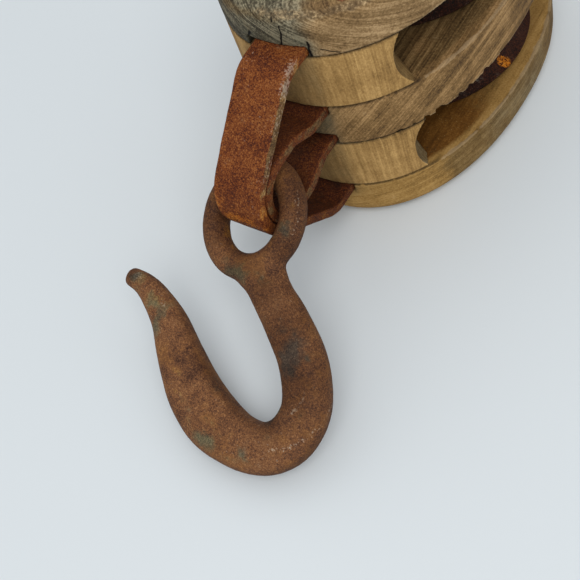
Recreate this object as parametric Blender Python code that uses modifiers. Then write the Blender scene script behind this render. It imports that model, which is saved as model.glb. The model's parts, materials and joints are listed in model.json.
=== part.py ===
"""Double sheave block: a wooden shell strapped inside with iron, with a loose forged hook.

The block lies on its bottom cheek. +Z runs along the sheave pin, the hook end points to -Y,
and the origin is on the pin's axis, in the flat face that the block rests on. Metres.
"""
import math

import bmesh
import bpy
from mathutils import Matrix, Vector

MM = 0.001
GAP = 0.3 * MM

# Shell: two cheeks, a centre partition and the spacers that hold them apart
SHELL_LENGTH = 178 * MM
SHELL_WIDTH = 121 * MM
SHELL_Y = -9.4 * MM
OUTLINE_POWER = 2.19
CHEEK = 23 * MM
# How far the outline is pulled in, and how far the surface rises, over a cheek's rounded edge
CROWN_PROFILE = (
    (0, 0),
    (0, 15.5 * MM),
    (0.9 * MM, 18.8 * MM),
    (3.4 * MM, 21.3 * MM),
    (7.5 * MM, 22.6 * MM),
    (14 * MM, CHEEK),
)
SWALLOW = 29 * MM
PARTITION = 23 * MM
OUTLINE_STEPS = 60
SPACER_END_STEPS = 16
SPACER_ARC_STEPS = 10
THROAT_SIDES = 40
# Spacers: outer half width, the inner face's radius and how far across it runs, then the
# radius of the throat on each flank and how far its centre stands out from the flank
SPACER_SIZES = {
    "head": (46.5 * MM, 64 * MM, 18 * MM, 19 * MM, 13.5 * MM),
    "tail": (45.5 * MM, 57.5 * MM, 34 * MM, 12 * MM, 6.5 * MM),
}
THROAT_RISE = {"lower": -1.5 * MM, "upper": 1 * MM}

# Iron straps
STRAP_WIDTH = 23.6 * MM
STRAP_THICK = 5 * MM
STRAP_ROUND = 1.8 * MM
ROUND_SHARE = 0.3
STRAP_X = 3.2 * MM
STRAP_TAIL_Y = 66 * MM
SLOT_WIDTH = 29 * MM
SLOT_X = 1.2 * MM
LOOP_Y = -129.7 * MM
LOOP_RADIUS = 12.5 * MM
LEG_SLOPE = math.radians(40)
LEG_BEND_RADIUS = 14 * MM
BULGE_LENGTH = 8 * MM
BULGE_SLOPE = math.radians(26)
BULGE_BEND_RADIUS = 12 * MM

# Hook
HOOK_REST_ANGLE = math.radians(29.3)
HOOK_X = 2.7 * MM
EYE_CENTRE = 18.5 * MM
EYE_HALF_WIDTH = 18.6 * MM
EYE_BAR_RADIUS = 5.4 * MM
EYE_STRETCH = 1.15
EYE_DEEPEN = 1.3
SECTION_SIDES = 14
SECTION_POWER = 2.3
# Middle line of the forging from the eye to the tip: across, out from the joint's axis,
# width in the hook's plane and depth through it, in millimetres
HOOK_LINE = (
    (8.8, 36.3, 27, 12),
    (15.3, 41.5, 21, 13),
    (21, 46.7, 19, 14.5),
    (30.5, 54, 20, 16),
    (42.5, 65, 21, 17),
    (50, 77, 21, 17.5),
    (52.5, 87, 21, 18),
    (49.5, 98.5, 21.5, 18),
    (40.5, 106.5, 22, 18),
    (27.5, 108.5, 23, 18),
    (13, 105.5, 25.5, 18),
    (-0.5, 98, 24.5, 17),
    (-13, 86.5, 21, 15),
    (-25, 74, 16, 13),
    (-37, 66, 12.5, 11),
    (-44.5, 63, 10.5, 9.5),
    (-51.5, 62, 9, 8.5),
)
HOOK_STEPS = 2
TIP_SHARE = 0.72
TIP_REACH = 1.6 * MM

# Sheaves, their bushes and the pin
SHEAVE_RADIUS = 54 * MM
SHEAVE_THICK = 26 * MM
SHEAVE_STEPS = 36
GROOVE_HALF = 11.4 * MM
GROOVE_DEPTH = 8.5 * MM
GROOVE_STEPS = 4
LIP_ROUND = 0.8 * MM
RIM_RADIUS = 40 * MM
HUB_RADIUS = 22 * MM
WEB_DEPTH = 6 * MM
WEB_TAPER = 3 * MM
BUSH_RADIUS = 15 * MM
BUSH_LENGTH = 27.4 * MM
PIN_RADIUS = 8 * MM

# Plates and screws over the pin's ends, and the through rivets
PLATE_LENGTH = 46 * MM
PLATE_WIDTH = 27 * MM
PLATE_THICK = 2.4 * MM
PLATE_SCREW_Y = 16.5 * MM
SCREW_RADIUS = 1.8 * MM
SCREW_HEAD_RADIUS = 3.6 * MM
SCREW_HEAD = 2 * MM
SCREW_LENGTH = 14 * MM
SCREW_POINT = 3.6 * MM
HOLE_RISE = 1 * MM
RIVET_X = 27 * MM
RIVET_HEAD_Y = -78 * MM
RIVET_TAIL_Y = 62 * MM
RIVET_RADIUS = 3 * MM
RIVET_HEAD_RADIUS = 4.6 * MM
RIVET_HEAD = 1.6 * MM
RIVET_FLAT_SHARE = 0.6
RIVET_EDGE_SHARE = 0.4
BURR_RADIUS = 6.2 * MM
BURR_THICK = 1.2 * MM
COUNTERBORE = 3.4 * MM
# How far a cutter runs past the face that it opens
OVERRUN = 3 * MM

# Levels up the stack
BOTTOM_TOP = CHEEK
LOWER_TOP = BOTTOM_TOP + SWALLOW
MIDDLE_TOP = LOWER_TOP + PARTITION
UPPER_TOP = MIDDLE_TOP + SWALLOW
HEIGHT = UPPER_TOP + CHEEK
MIDDLE = HEIGHT / 2
ENDS = {"head": -1, "tail": 1}
SWALLOWS = {"lower": (BOTTOM_TOP, LOWER_TOP), "upper": (MIDDLE_TOP, UPPER_TOP)}
RIVET_PLACES = [(x, y) for y in (RIVET_HEAD_Y, RIVET_TAIL_Y) for x in (-RIVET_X, RIVET_X)]
# The two outer faces: their names, their levels and the way into the wood
OUTER_FACES = (("bottom", 0, 1), ("top", HEIGHT, -1))

for old in list(bpy.data.objects):
    bpy.data.objects.remove(old, do_unlink=True)

parts = bpy.data.collections.new("double_sheave_block")
cutters = bpy.data.collections.new("cutters")
for collection in (parts, cutters):
    bpy.context.scene.collection.children.link(collection)


def make_material(name, colour, roughness, metallic=0.0):
    material = bpy.data.materials.new(name)
    material.use_nodes = True
    shader = material.node_tree.nodes["Principled BSDF"]
    shader.inputs["Base Color"].default_value = (*colour, 1)
    shader.inputs["Roughness"].default_value = roughness
    shader.inputs["Metallic"].default_value = metallic
    return material


CHEEK_WOOD = make_material("cheek_wood", (0.24, 0.17, 0.10), 0.75)
SPACER_WOOD = make_material("spacer_wood", (0.36, 0.25, 0.14), 0.7)
STRAP_IRON = make_material("strap_iron", (0.16, 0.06, 0.03), 0.8, 0.3)
HOOK_IRON = make_material("hook_iron", (0.13, 0.07, 0.04), 0.75, 0.3)
SHEAVE_IRON = make_material("sheave_iron", (0.06, 0.04, 0.035), 0.8, 0.4)
BRONZE = make_material("bush_bronze", (0.45, 0.30, 0.12), 0.5, 0.9)
PIN_STEEL = make_material("pin_steel", (0.35, 0.33, 0.31), 0.45, 0.9)
PLATE_IRON = make_material("plate_iron", (0.14, 0.08, 0.05), 0.7, 0.5)
COPPER = make_material("rivet_copper", (0.38, 0.18, 0.09), 0.55, 0.9)


def add_object(name, mesh, material, collection=parts):
    """Puts a mesh in a collection as a named object."""
    item = bpy.data.objects.new(name, mesh)
    collection.objects.link(item)
    if material:
        mesh.materials.append(material)
    if collection is cutters:
        item.hide_render = True
        item.display_type = "WIRE"
    return item


def smooth(item, degrees=35):
    """Shades a mesh smooth, with every corner sharper than the angle kept crisp."""
    item.data.shade_smooth()
    item.data.set_sharp_from_angle(angle=math.radians(degrees))


def loft(name, rings, material, collection=parts):
    """Skins a row of equal rings of points and caps both ends."""
    mesh = bpy.data.meshes.new(name)
    work = bmesh.new()
    rows = [[work.verts.new(point) for point in ring] for ring in rings]
    count = len(rows[0])
    for low, high in zip(rows, rows[1:]):
        for i in range(count):
            j = (i + 1) % count
            work.faces.new((low[i], low[j], high[j], high[i]))
    work.faces.new(list(reversed(rows[0])))
    work.faces.new(rows[-1])
    bmesh.ops.recalc_face_normals(work, faces=work.faces)
    work.to_mesh(mesh)
    work.free()
    item = add_object(name, mesh, material, collection)
    smooth(item)
    return item


def slab(name, outline, low, high, material, collection=parts):
    """A flat outline drawn as a filled curve and given its thickness along Z."""
    curve = bpy.data.curves.new(name, "CURVE")
    curve.dimensions = "2D"
    curve.fill_mode = "BOTH"
    curve.extrude = (high - low) / 2
    spline = curve.splines.new("POLY")
    spline.points.add(len(outline) - 1)
    for point, (x, y) in zip(spline.points, outline):
        point.co = (x, y, 0, 1)
    spline.use_cyclic_u = True
    drawn = bpy.data.objects.new(name + "_curve", curve)
    cutters.objects.link(drawn)
    drawn.location.z = (low + high) / 2
    bpy.context.view_layer.update()
    shape = drawn.evaluated_get(bpy.context.evaluated_depsgraph_get())
    mesh = bpy.data.meshes.new_from_object(shape)
    mesh.materials.clear()
    work = bmesh.new()
    work.from_mesh(mesh)
    bmesh.ops.remove_doubles(work, verts=work.verts, dist=0.01 * MM)
    bmesh.ops.recalc_face_normals(work, faces=work.faces)
    work.to_mesh(mesh)
    work.free()
    item = add_object(name, mesh, material, collection)
    item.matrix_world = drawn.matrix_world
    bpy.data.objects.remove(drawn)
    return item


def cylinder(name, radius, low, high, place, material=None, collection=parts, sides=24):
    """An upright round bar between two levels."""
    bpy.ops.mesh.primitive_cylinder_add(vertices=sides, radius=radius, depth=high - low)
    made = bpy.context.object
    mesh = made.data
    bpy.data.objects.remove(made)
    item = add_object(name, mesh, material, collection)
    item.location = (*place, (low + high) / 2)
    smooth(item)
    return item


def turned(name, profile, height, material, place=(0, 0), steps=32, collection=parts):
    """Turns a closed profile, given down its outer side, about a line along Z."""
    mesh = bpy.data.meshes.new(name)
    count = len(profile)
    points = [(radius, 0, level) for radius, level in profile]
    mesh.from_pydata(points, [(i, (i + 1) % count) for i in range(count)], [])
    item = add_object(name, mesh, material, collection)
    item.location = (*place, height)
    screw = item.modifiers.new("turn", "SCREW")
    screw.steps = steps
    screw.render_steps = steps
    screw.use_merge_vertices = True
    screw.merge_threshold = 0.00001
    screw.use_smooth_shade = False
    return item


def boolean(item, tool, operation="DIFFERENCE"):
    """Cuts, or joins, one object with another."""
    change = item.modifiers.new(tool.name, "BOOLEAN")
    change.operation = operation
    change.object = tool


def arc(centre, radius, start, end, steps):
    """Points on an arc, its angles measured from the first axis towards the second."""
    angles = [start + (end - start) * i / steps for i in range(steps + 1)]
    return [(centre[0] + radius * math.cos(a), centre[1] + radius * math.sin(a)) for a in angles]


# ---- shell -------------------------------------------------------------------------------

def shell_outline(inset=0.0):
    """The shell's rounded oblong, pulled in evenly by the inset."""
    half_width = SHELL_WIDTH / 2 - inset
    half_length = SHELL_LENGTH / 2 - inset
    points = []
    for i in range(OUTLINE_STEPS):
        angle = 2 * math.pi * i / OUTLINE_STEPS
        across = math.copysign(abs(math.cos(angle)) ** (2 / OUTLINE_POWER), math.cos(angle))
        along = math.copysign(abs(math.sin(angle)) ** (2 / OUTLINE_POWER), math.sin(angle))
        points.append((half_width * across, SHELL_Y + half_length * along))
    return points


def shell_end(x, end):
    """Where the outline's head (-1) or tail (+1) lies along Y at a place across it."""
    share = (1 - abs(2 * x / SHELL_WIDTH) ** OUTLINE_POWER) ** (1 / OUTLINE_POWER)
    return SHELL_Y + end * SHELL_LENGTH / 2 * share


def cheek(name, inner, outward):
    """A cheek with its inner face at one level and its crowned outer face above or below it."""
    rings = []
    for inset, rise in CROWN_PROFILE:
        level = inner + outward * max(rise, GAP / 2)
        rings.append([(x, y, level) for x, y in shell_outline(inset)])
    return loft(name, rings, CHEEK_WOOD)


def flank(end_name, side):
    """The outer and the inner corner of one flank of a spacer."""
    half_width, radius, horn_x = SPACER_SIZES[end_name][:3]
    end = ENDS[end_name]
    corner = Vector((side * half_width, shell_end(half_width, end), 0))
    horn = Vector((side * horn_x, end * math.sqrt(radius ** 2 - horn_x ** 2), 0))
    return corner, horn


def spacer_outline(end_name):
    """The spacer between the straps' end and the sheave, at the head or the tail."""
    half_width, radius, horn_x = SPACER_SIZES[end_name][:3]
    end = ENDS[end_name]
    edge = []
    for i in range(SPACER_END_STEPS + 1):
        x = half_width * (2 * i / SPACER_END_STEPS - 1)
        edge.append((x, shell_end(x, end)))
    spread = end * math.asin(horn_x / radius)
    middle = end * math.pi / 2
    return edge + arc((0, 0), radius, middle - spread, middle + spread, SPACER_ARC_STEPS)


def throat_cutter(name, end_name, side, level):
    """A round bar laid along a spacer's flank, which scoops it into a throat for the rope."""
    radius, offset = SPACER_SIZES[end_name][3:]
    corner, horn = flank(end_name, side)
    along = (horn - corner).normalized()
    outward = Vector((along.y, -along.x, 0)) * -ENDS[end_name] * side
    tool = cylinder(name, radius, -SHELL_WIDTH, SHELL_WIDTH, (0, 0), None, cutters, THROAT_SIDES)
    tool.rotation_euler = along.to_track_quat("Z", "Y").to_euler()
    tool.location = (corner + horn) / 2 + outward * offset
    tool.location.z = level
    return tool


bottom_cheek = cheek("bottom_cheek", BOTTOM_TOP, -1)
top_cheek = cheek("top_cheek", UPPER_TOP, 1)
partition = loft("centre_partition", [[(x, y, level) for x, y in shell_outline()]
                                      for level in (LOWER_TOP + GAP / 2, MIDDLE_TOP - GAP / 2)],
                 CHEEK_WOOD)
spacers = []
for level_name, (low, high) in SWALLOWS.items():
    for end_name in ENDS:
        spacer = slab(f"{end_name}_spacer_{level_name}", spacer_outline(end_name), low + GAP / 2,
                      high - GAP / 2, SPACER_WOOD)
        spacers.append(spacer)
        for side_name, side in (("left", -1), ("right", 1)):
            tool_name = f"throat_{level_name}_{end_name}_{side_name}"
            level = (low + high) / 2 + THROAT_RISE[level_name]
            boolean(spacer, throat_cutter(tool_name, end_name, side, level))

# ---- bores through the shell -------------------------------------------------------------

pin_bore = cylinder("pin_bore", PIN_RADIUS + GAP, -CHEEK, HEIGHT + CHEEK, (0, 0), None, cutters)
woods = [bottom_cheek, top_cheek, partition]
for wood in woods:
    boolean(wood, pin_bore)
for number, (x, y) in enumerate(RIVET_PLACES, 1):
    bore = cylinder(f"rivet_bore_{number}", RIVET_RADIUS + GAP, -CHEEK, HEIGHT + CHEEK, (x, y), None,
                    cutters, 12)
    for wood in woods + [s for s in spacers if ("head" in s.name) == (y < 0)]:
        boolean(wood, bore)
cheeks = {"bottom": bottom_cheek, "top": top_cheek}
for face_name, face, inward in OUTER_FACES:
    for number, (x, y) in enumerate(RIVET_PLACES, 1):
        ends = sorted((face - inward * OVERRUN, face + inward * COUNTERBORE))
        sink = cylinder(f"counterbore_{face_name}_{number}", BURR_RADIUS + GAP, *ends, (x, y), None,
                        cutters, 16)
        boolean(cheeks[face_name], sink)

# ---- straps ------------------------------------------------------------------------------

def strap_section(point, tangent, width, thick):
    """A rounded rectangle across the strap, square to its path in the YZ plane."""
    normal = (-tangent[1], tangent[0])
    half_w, half_t, cut = width / 2, thick / 2, STRAP_ROUND
    corners = []
    for sign_x, sign_t, order in ((1, 1, 0), (-1, 1, 1), (-1, -1, 0), (1, -1, 1)):
        side = (sign_x * half_w, sign_t * (half_t - cut))
        diagonal = (sign_x * (half_w - ROUND_SHARE * cut), sign_t * (half_t - ROUND_SHARE * cut))
        face = (sign_x * (half_w - cut), sign_t * half_t)
        corners += [face, diagonal, side] if order else [side, diagonal, face]
    ring = []
    for across, out in corners:
        ring.append((STRAP_X + across, point[0] + normal[0] * out, MIDDLE + point[1] + normal[1] * out))
    return ring


def strap(name, half_path):
    """A flat bar bent round the loop: half of its path, mirrored about the middle level."""
    path = half_path + [(y, -h) for y, h in reversed(half_path[:-1])]
    rings = []
    for i, point in enumerate(path):
        before = Vector(path[max(i - 1, 0)])
        after = Vector(path[min(i + 1, len(path) - 1)])
        tangent = (after - before).normalized()
        rings.append(strap_section(point, tangent, STRAP_WIDTH, STRAP_THICK))
    item = loft(name, rings, STRAP_IRON)
    boolean(item, pin_bore)
    return item


def outer_path():
    """Tail, along the cheek, bend, straight slope, crown: half of the outer strap's middle line."""
    leg = SWALLOW + PARTITION / 2 + (GAP + STRAP_THICK) / 2
    crown = LOOP_RADIUS + STRAP_THICK * 1.5 + GAP
    turn = math.pi / 2 - LEG_SLOPE
    tangent_point = Vector((LOOP_Y - crown * math.cos(turn), crown * math.sin(turn)))
    run = (leg - tangent_point.y) / math.tan(LEG_SLOPE)
    knee = tangent_point.x + run
    reach = LEG_BEND_RADIUS * math.tan(LEG_SLOPE / 2)
    bend = arc((knee + reach, leg - LEG_BEND_RADIUS), LEG_BEND_RADIUS, math.pi / 2,
               math.pi / 2 + LEG_SLOPE, 5)
    top = arc((LOOP_Y, 0), crown, math.pi - turn, math.pi, 6)
    return [(STRAP_TAIL_Y, leg)] + bend + top


def inner_path():
    """Tail, along the partition, out over the bulge, crown: half of the inner strap's middle line."""
    leg = PARTITION / 2 - (GAP + STRAP_THICK) / 2
    crown = LOOP_RADIUS + STRAP_THICK / 2
    radius = BULGE_BEND_RADIUS
    straight = (crown - leg - 2 * radius * (1 - math.cos(BULGE_SLOPE))) / math.sin(BULGE_SLOPE)
    bulge_end = LOOP_Y + BULGE_LENGTH
    foot = bulge_end + 2 * radius * math.sin(BULGE_SLOPE) + straight * math.cos(BULGE_SLOPE)
    rise = arc((foot, leg + radius), radius, -math.pi / 2, -math.pi / 2 - BULGE_SLOPE, 4)
    ease = arc((bulge_end, crown - radius), radius, math.pi / 2 - BULGE_SLOPE, math.pi / 2, 4)
    top = arc((LOOP_Y, 0), crown, math.pi / 2, math.pi, 9)
    return [(STRAP_TAIL_Y, leg)] + rise + ease + top


outer_strap = strap("outer_strap", outer_path())
inner_strap = strap("inner_strap", inner_path())

slot_depth = STRAP_THICK + 1.5 * GAP
slot_ends = (-SHELL_LENGTH, STRAP_TAIL_Y + GAP)


def slot(name, wood, face, inward):
    """A recess for a strap leg, sunk into a face and open at the head end."""
    bpy.ops.mesh.primitive_cube_add(size=1)
    made = bpy.context.object
    mesh = made.data
    bpy.data.objects.remove(made)
    tool = add_object(name, mesh, None, cutters)
    levels = sorted((face - inward * OVERRUN, face + inward * slot_depth))
    tool.scale = (SLOT_WIDTH, slot_ends[1] - slot_ends[0], levels[1] - levels[0])
    tool.location = (SLOT_X, sum(slot_ends) / 2, sum(levels) / 2)
    boolean(wood, tool)


slot("slot_bottom_cheek", bottom_cheek, BOTTOM_TOP, -1)
slot("slot_partition_lower", partition, LOWER_TOP, 1)
slot("slot_partition_upper", partition, MIDDLE_TOP, -1)
slot("slot_top_cheek", top_cheek, UPPER_TOP, 1)

# ---- sheaves, bushes and pin -------------------------------------------------------------

def sheave_profile():
    """Groove, lips, recessed web and hub, as a section from the top's inner edge outward."""
    half = SHEAVE_THICK / 2
    lip = SHEAVE_RADIUS
    radius = (GROOVE_HALF ** 2 + GROOVE_DEPTH ** 2) / (2 * GROOVE_DEPTH)
    spread = math.asin(GROOVE_HALF / radius)
    centre = lip - GROOVE_DEPTH + radius
    groove = arc((centre, 0), radius, math.pi - spread, math.pi + spread, GROOVE_STEPS)
    web = half - WEB_DEPTH
    side = [(lip - LIP_ROUND, -half), (RIM_RADIUS, -half), (RIM_RADIUS - WEB_TAPER, -web),
            (HUB_RADIUS + WEB_TAPER, -web), (HUB_RADIUS, -half), (BUSH_RADIUS + GAP, -half)]
    lower = [(lip, -half + LIP_ROUND)] + side
    return [(r, -z) for r, z in reversed(lower)] + groove + lower


for level_name, (low, high) in SWALLOWS.items():
    centre = (low + high) / 2
    sheave = turned(f"sheave_{level_name}", sheave_profile(), centre, SHEAVE_IRON, steps=SHEAVE_STEPS)
    half = BUSH_LENGTH / 2
    bush = turned(f"bush_{level_name}", [(BUSH_RADIUS, half), (BUSH_RADIUS, -half),
                                         (PIN_RADIUS + GAP, -half), (PIN_RADIUS + GAP, half)],
                  centre, BRONZE, steps=SHEAVE_STEPS)

cylinder("sheave_pin", PIN_RADIUS, PLATE_THICK + GAP, HEIGHT - PLATE_THICK - GAP, (0, 0), PIN_STEEL)

# ---- pin plates, screws and rivets -------------------------------------------------------

def plate_outline(extra=0.0):
    """An oblong with round ends."""
    radius = PLATE_WIDTH / 2 + extra
    reach = (PLATE_LENGTH - PLATE_WIDTH) / 2
    return arc((0, reach), radius, 0, math.pi, 10) + arc((0, -reach), radius, math.pi, 2 * math.pi, 10)


def screw_profile(inward, radius, head_radius, length, rise):
    """A countersunk screw, or the hole for it: the rise carries a hole past the open face."""
    profile = [(0, -inward * rise), (head_radius, -inward * rise), (radius, inward * SCREW_HEAD),
               (radius, inward * (length - SCREW_POINT)), (0, inward * length)]
    return profile if inward < 0 else profile[::-1]


for face_name, face, inward in OUTER_FACES:
    wood = cheeks[face_name]
    levels = sorted((face, face + inward * PLATE_THICK))
    plate = slab(f"pin_plate_{face_name}", plate_outline(), *levels, PLATE_IRON)
    levels = sorted((face - inward * OVERRUN, face + inward * (PLATE_THICK + GAP)))
    recess = slab(f"plate_recess_{face_name}", plate_outline(GAP), *levels, None, cutters)
    boolean(wood, recess)
    for end_name, y in (("head", -PLATE_SCREW_Y), ("tail", PLATE_SCREW_Y)):
        profile = screw_profile(inward, SCREW_RADIUS, SCREW_HEAD_RADIUS, SCREW_LENGTH, 0)
        turned(f"plate_screw_{face_name}_{end_name}", profile, face, PLATE_IRON, (0, y), 16)
        profile = screw_profile(inward, SCREW_RADIUS + GAP, SCREW_HEAD_RADIUS + GAP + HOLE_RISE,
                                SCREW_LENGTH + GAP, HOLE_RISE)
        hole = turned(f"screw_hole_{face_name}_{end_name}", profile, face, None, (0, y), 16, cutters)
        boolean(plate, hole)
        boolean(wood, hole)

seat = COUNTERBORE - GAP
for number, (x, y) in enumerate(RIVET_PLACES, 1):
    end_name = "head" if y < 0 else "tail"
    side_name = "left" if x < 0 else "right"
    inner = MIDDLE - seat + BURR_THICK + GAP
    outer = inner + RIVET_HEAD
    profile = [(0, outer), (RIVET_HEAD_RADIUS * RIVET_FLAT_SHARE, outer),
               (RIVET_HEAD_RADIUS, inner + RIVET_HEAD * RIVET_EDGE_SHARE),
               (RIVET_HEAD_RADIUS, inner), (RIVET_RADIUS, inner)]
    profile += [(r, -z) for r, z in reversed(profile)]
    turned(f"rivet_{end_name}_{side_name}", profile, MIDDLE, COPPER, (x, y), 12)
    for face_name, face, inward in OUTER_FACES:
        low, high = sorted((face + inward * seat, face + inward * (seat - BURR_THICK)))
        section = [(BURR_RADIUS, high), (BURR_RADIUS, low), (RIVET_RADIUS + GAP, low),
                   (RIVET_RADIUS + GAP, high)]
        turned(f"burr_{face_name}_{end_name}_{side_name}", section, 0, COPPER, (x, y), 16)

# ---- hook --------------------------------------------------------------------------------

def blend_stations(stations, steps):
    """Catmull-Rom points between hand-placed stations."""
    rows = [Vector(row) for row in stations]
    rows = [2 * rows[0] - rows[1]] + rows + [2 * rows[-1] - rows[-2]]
    result = []
    for a, b, c, d in zip(rows, rows[1:], rows[2:], rows[3:]):
        for i in range(steps):
            t = i / steps
            result.append(0.5 * (2 * b + (c - a) * t + (2 * a - 5 * b + 4 * c - d) * t * t
                                 + (3 * b - 3 * c + d - a) * t ** 3))
    return result + [rows[-2]]


def hook_body():
    """The forging's shank, bowl and point, flat in its own XY plane with the joint at its origin."""
    rows = blend_stations(HOOK_LINE, HOOK_STEPS)
    rings = []
    for i, row in enumerate(rows):
        before, after = rows[max(i - 1, 0)], rows[min(i + 1, len(rows) - 1)]
        tangent = (Vector(after[:2]) - Vector(before[:2])).normalized()
        across = Vector((-tangent.y, tangent.x))
        ring = []
        for side in range(SECTION_SIDES):
            angle = 2 * math.pi * side / SECTION_SIDES
            c, s = math.cos(angle), math.sin(angle)
            w = math.copysign(abs(c) ** (2 / SECTION_POWER), c) * row[2] / 2
            d = math.copysign(abs(s) ** (2 / SECTION_POWER), s) * row[3] / 2
            x, out = row[0] + across.x * w, row[1] + across.y * w
            ring.append((x * MM, -out * MM, d * MM))
        rings.append(ring)
    middle, last = [sum((Vector(p) for p in ring), Vector()) / len(ring) for ring in (rings[-1], rings[-2])]
    end = middle + (middle - last).normalized() * TIP_REACH
    rings.append([tuple(end + (Vector(p) - middle) * TIP_SHARE) for p in rings[-1]])
    return loft("hook", rings, HOOK_IRON)


hook = hook_body()
bpy.ops.mesh.primitive_torus_add(major_segments=32, minor_segments=12,
                                 major_radius=EYE_HALF_WIDTH, minor_radius=EYE_BAR_RADIUS)
torus = bpy.context.object
torus.data.transform(Matrix.Diagonal((1, EYE_STRETCH, EYE_DEEPEN, 1)))
eye = add_object("hook_eye", torus.data, None, cutters)
bpy.data.objects.remove(torus)
eye.parent = hook
eye.location = (0, -EYE_CENTRE, 0)
boolean(hook, eye, "UNION")
hook.location = (HOOK_X, LOOP_Y, MIDDLE)
hook.rotation_euler = (HOOK_REST_ANGLE, 0, 0)
smooth(hook, 40)
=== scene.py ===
"""Looks of a wooden double sheave block with a forged hook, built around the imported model."""
import json
import math

import bmesh
import bpy
import numpy as np
from mathutils import Matrix, Vector

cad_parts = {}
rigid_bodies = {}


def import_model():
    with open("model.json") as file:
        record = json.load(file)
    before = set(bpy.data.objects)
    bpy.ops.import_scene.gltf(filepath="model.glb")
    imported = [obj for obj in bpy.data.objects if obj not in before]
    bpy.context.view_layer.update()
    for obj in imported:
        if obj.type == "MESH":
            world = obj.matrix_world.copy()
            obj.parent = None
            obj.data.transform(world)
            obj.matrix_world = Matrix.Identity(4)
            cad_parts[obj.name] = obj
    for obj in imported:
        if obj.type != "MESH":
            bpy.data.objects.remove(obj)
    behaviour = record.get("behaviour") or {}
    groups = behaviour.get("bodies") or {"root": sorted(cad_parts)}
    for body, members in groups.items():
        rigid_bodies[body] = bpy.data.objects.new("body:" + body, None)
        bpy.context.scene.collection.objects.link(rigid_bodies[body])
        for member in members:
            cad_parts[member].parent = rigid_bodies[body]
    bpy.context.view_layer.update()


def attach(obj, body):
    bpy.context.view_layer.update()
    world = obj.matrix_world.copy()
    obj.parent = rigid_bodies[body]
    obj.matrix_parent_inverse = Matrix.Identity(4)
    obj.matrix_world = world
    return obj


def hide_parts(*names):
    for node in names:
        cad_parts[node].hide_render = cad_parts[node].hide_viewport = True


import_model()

MM = 0.001
GAP = 0.3 * MM

# Shell
SHELL_LENGTH, SHELL_WIDTH, SHELL_Y = 178 * MM, 121 * MM, -9.4 * MM
OUTLINE_POWER = 2.19
OUTLINE_STEPS = 240
CHEEK, SWALLOW, PARTITION = 23 * MM, 29 * MM, 23 * MM
CROWN_PROFILE = ((0, 0.15), (0, 4), (0, 8), (0, 12), (0, 15.5), (0.9, 18.8), (3.4, 21.3),
                 (7.5, 22.6), (14, 23), (22, 23))
ENDS = {"head": -1, "tail": 1}
# Outer half width, the inner face's radius and how far across it runs, then the throats' radius
# and how far out from the flank their centres stand
SPACER_SIZES = {
    "head": (46.5 * MM, 64 * MM, 18 * MM, 19 * MM, 13.5 * MM),
    "tail": (45.5 * MM, 57.5 * MM, 34 * MM, 12 * MM, 6.5 * MM),
}
THROAT_RISE = {"lower": -1.5 * MM, "upper": 1 * MM}
# How far the throats turn outwards from the flank. The photograph shows the head ones' lower lips.
THROAT_TURN = {"head": math.radians(25), "tail": 0.0}
BOTTOM_TOP = CHEEK
LOWER_TOP = BOTTOM_TOP + SWALLOW
MIDDLE_TOP = LOWER_TOP + PARTITION
UPPER_TOP = MIDDLE_TOP + SWALLOW
HEIGHT = UPPER_TOP + CHEEK
MIDDLE = HEIGHT / 2
SWALLOWS = (("lower", BOTTOM_TOP, LOWER_TOP), ("upper", MIDDLE_TOP, UPPER_TOP))
# Each outer face, its level and which way is inwards
FACES = (("bottom", 0, 1), ("top", HEIGHT, -1))

# Straps
STRAP_WIDTH, STRAP_THICK, STRAP_X, STRAP_TAIL_Y = 23.6 * MM, 5 * MM, 3.2 * MM, 66 * MM
STRAP_ROUND = 1.1 * MM
SLOT_WIDTH, SLOT_X = 29 * MM, 1.2 * MM
LOOP_Y, LOOP_RADIUS = -129.7 * MM, 12.5 * MM
LEG_SLOPE, LEG_BEND_RADIUS = math.radians(40), 14 * MM
BULGE_LENGTH, BULGE_SLOPE, BULGE_BEND_RADIUS = 8 * MM, math.radians(26), 12 * MM

# Hook
HOOK_REST_ANGLE, HOOK_X = math.radians(29.3), 2.7 * MM
EYE_CENTRE, EYE_HALF_WIDTH, EYE_BAR_RADIUS = 18.5 * MM, 18.6 * MM, 5.4 * MM
EYE_STRETCH, EYE_DEEPEN = 1.15, 1.3
# Across, out, width, depth, squareness of the section
HOOK_LINE = (
    (8.8, 36.3, 25, 12, 2.1),
    (15.3, 41.5, 20.5, 13, 2.1),
    (21, 46.7, 18.8, 14.5, 2.1),
    (30.5, 54, 20, 16, 2.1),
    (42.5, 65, 21, 17, 2.15),
    (50, 77, 21, 17.5, 2.2),
    (52.5, 87, 21, 18, 2.2),
    (49.5, 98.5, 21.5, 18, 2.3),
    (40.5, 106.5, 22, 18, 2.4),
    (27.5, 108.5, 23, 18, 2.6),
    (13, 105.5, 25.5, 18, 2.8),
    (-0.5, 98, 24.5, 17, 2.9),
    (-13, 86.5, 21, 15, 2.8),
    (-25, 74, 16, 13, 2.6),
    (-37, 66, 12.5, 11, 2.4),
    (-44.5, 63, 10.5, 9.5, 2.2),
    (-51.5, 62, 9, 8.5, 2.1),
)

# Sheaves
SHEAVE_RADIUS, SHEAVE_THICK = 54 * MM, 26 * MM
GROOVE_HALF, GROOVE_DEPTH = 11.4 * MM, 8.5 * MM
RIM_RADIUS, HUB_RADIUS, WEB_DEPTH, WEB_TAPER = 40 * MM, 22 * MM, 6 * MM, 3 * MM
BUSH_RADIUS, PIN_RADIUS = 15 * MM, 8 * MM

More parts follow.
